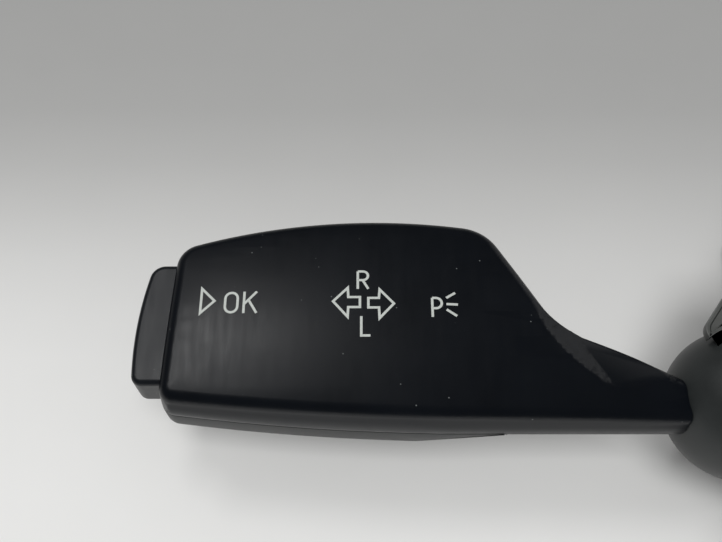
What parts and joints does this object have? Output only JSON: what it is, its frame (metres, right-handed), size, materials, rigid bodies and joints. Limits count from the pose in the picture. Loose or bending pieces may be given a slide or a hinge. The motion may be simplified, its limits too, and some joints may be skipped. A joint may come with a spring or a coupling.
{
  "type": "steering column switch unit with airbag clock spring",
  "caption": "Steering column switch carrier with airbag clock spring, an indicator lever and a wiper lever that tilt on ball covers, with end push buttons.",
  "frame": {"origin": "on the steering axis, at the rear mounting face of the carrier", "axes": "+Z along the steering axis towards the driver, +X to the right, +Y up"},
  "size_m": [0.3442, 0.1117, 0.0689],
  "materials": {
    "housing_plastic": "fine grained moulding",
    "lid_plastic": "fine grained moulding",
    "cassette_plastic": "fine grained moulding",
    "rotor_plastic": "smooth moulding",
    "ribbon_film": "laminated film",
    "terminal_plastic": "smooth moulding",
    "yellow_plastic": "smooth moulding",
    "code_disc": "smooth",
    "drive_pin_plastic": "smooth moulding",
    "contact_metal": "tinned",
    "circuit_board": "lacquered",
    "screw_steel": "zinc plated",
    "spring_steel": "drawn wire",
    "sliding_plastic": "smooth",
    "ball_plastic": "satin",
    "handle_face": "soft satin paint",
    "handle_back": "fine grained moulding",
    "button_plastic": "satin moulding"
  },
  "bodies": {
    "root": {"carrier_housing": "housing_plastic", "cassette_base": "cassette_plastic", "cassette_cover": "cassette_plastic", "ribbon_cable": "ribbon_film", "outer_terminal_block": "terminal_plastic", "control_board": "circuit_board", "angle_sensor": "terminal_plastic", "vehicle_socket": "terminal_plastic", "socket_pins": "contact_metal", "cassette_screws": "screw_steel", "case_screws": "screw_steel", "board_screws": "screw_steel", "turn_switch_case": "housing_plastic", "turn_switch_lid": "lid_plastic", "turn_contact_board": "circuit_board", "turn_detent_track": "sliding_plastic", "wiper_switch_case": "housing_plastic", "wiper_switch_lid": "lid_plastic", "wiper_contact_board": "circuit_board", "wiper_detent_track": "sliding_plastic"},
    "rotor": {"rotor_hub": "rotor_plastic", "rotor_retainer": "rotor_plastic", "angle_code_disc": "code_disc", "inner_terminal_block": "terminal_plastic", "drive_pins": "drive_pin_plastic", "airbag_socket_left": "yellow_plastic", "airbag_socket_right": "yellow_plastic", "wheel_socket": "terminal_plastic", "rotor_pins": "contact_metal"},
    "turn_bracket": {"turn_swivel_bracket": "sliding_plastic", "turn_cross_pin": "screw_steel", "turn_contact_wiper": "contact_metal"},
    "turn_lever": {"turn_lever_arm": "sliding_plastic", "turn_ball_cover": "ball_plastic", "turn_front_shell": "handle_face", "turn_rear_shell": "handle_back", "turn_shell_screws": "screw_steel", "turn_button_board": "circuit_board", "turn_detent_spring": "spring_steel", "turn_button_spring": "spring_steel"},
    "turn_button": {"turn_end_button": "button_plastic"},
    "turn_plunger": {"turn_detent_plunger": "sliding_plastic"},
    "wiper_bracket": {"wiper_swivel_bracket": "sliding_plastic", "wiper_cross_pin": "screw_steel", "wiper_contact_wiper": "contact_metal"},
    "wiper_lever": {"wiper_lever_arm": "sliding_plastic", "wiper_ball_cover": "ball_plastic", "wiper_front_shell": "handle_face", "wiper_rear_shell": "handle_back", "wiper_shell_screws": "screw_steel", "wiper_button_board": "circuit_board", "wiper_detent_spring": "spring_steel", "wiper_button_spring": "spring_steel", "wiper_thumb_axle": "screw_steel"},
    "wiper_button": {"wiper_end_button": "button_plastic"},
    "wiper_plunger": {"wiper_detent_plunger": "sliding_plastic"},
    "wiper_wheel": {"wiper_thumb_wheel": "button_plastic"}
  },
  "joints": [
    {"name": "rotor_turn", "type": "hinge", "parent": "root", "child": "rotor", "pos_m": [0, 0, 0.045], "axis": [0, 0, 1], "range_deg": [-990, 990], "deforming": ["ribbon_cable"]},
    {"name": "turn_up_down", "type": "hinge", "parent": "root", "child": "turn_bracket", "pos_m": [-0.06, 0, 0.024], "axis": [0, 0, 1], "range_deg": [-8, 8], "stiffness_Nm_per_rad": 2},
    {"name": "turn_pull_push", "type": "hinge", "parent": "turn_bracket", "child": "turn_lever", "pos_m": [-0.06, 0, 0.024], "axis": [0, 1, 0], "range_deg": [-6, 6], "stiffness_Nm_per_rad": 4},
    {"name": "turn_plunger_slide", "type": "slide", "parent": "turn_lever", "child": "turn_plunger", "axis": [-1, 0, 0], "range_m": [0, 0.0015], "stiffness_N_per_m": 600, "springref_m": -0.001, "deforming": ["turn_detent_spring"]},
    {"name": "turn_button_press", "type": "slide", "parent": "turn_lever", "child": "turn_button", "axis": [1, 0, 0], "range_m": [0, 0.0015], "stiffness_N_per_m": 400, "springref_m": -0.001, "deforming": ["turn_button_spring"]},
    {"name": "wiper_up_down", "type": "hinge", "parent": "root", "child": "wiper_bracket", "pos_m": [0.06, 0, 0.024], "axis": [0, 0, 1], "range_deg": [-8, 8], "stiffness_Nm_per_rad": 2},
    {"name": "wiper_pull_push", "type": "hinge", "parent": "wiper_bracket", "child": "wiper_lever", "pos_m": [0.06, 0, 0.024], "axis": [0, 1, 0], "range_deg": [-6, 6], "stiffness_Nm_per_rad": 4},
    {"name": "wiper_plunger_slide", "type": "slide", "parent": "wiper_lever", "child": "wiper_plunger", "axis": [1, 0, 0], "range_m": [0, 0.0015], "stiffness_N_per_m": 600, "springref_m": -0.001, "deforming": ["wiper_detent_spring"]},
    {"name": "wiper_button_press", "type": "slide", "parent": "wiper_lever", "child": "wiper_button", "axis": [-1, 0, 0], "range_m": [0, 0.0015], "stiffness_N_per_m": 400, "springref_m": -0.001, "deforming": ["wiper_button_spring"]},
    {"name": "wiper_wheel_turn", "type": "hinge", "parent": "wiper_lever", "child": "wiper_wheel", "pos_m": [0.13, 0.014, 0.0286], "axis": [1, 0, 0], "range_deg": [-60, 60]}
  ]
}
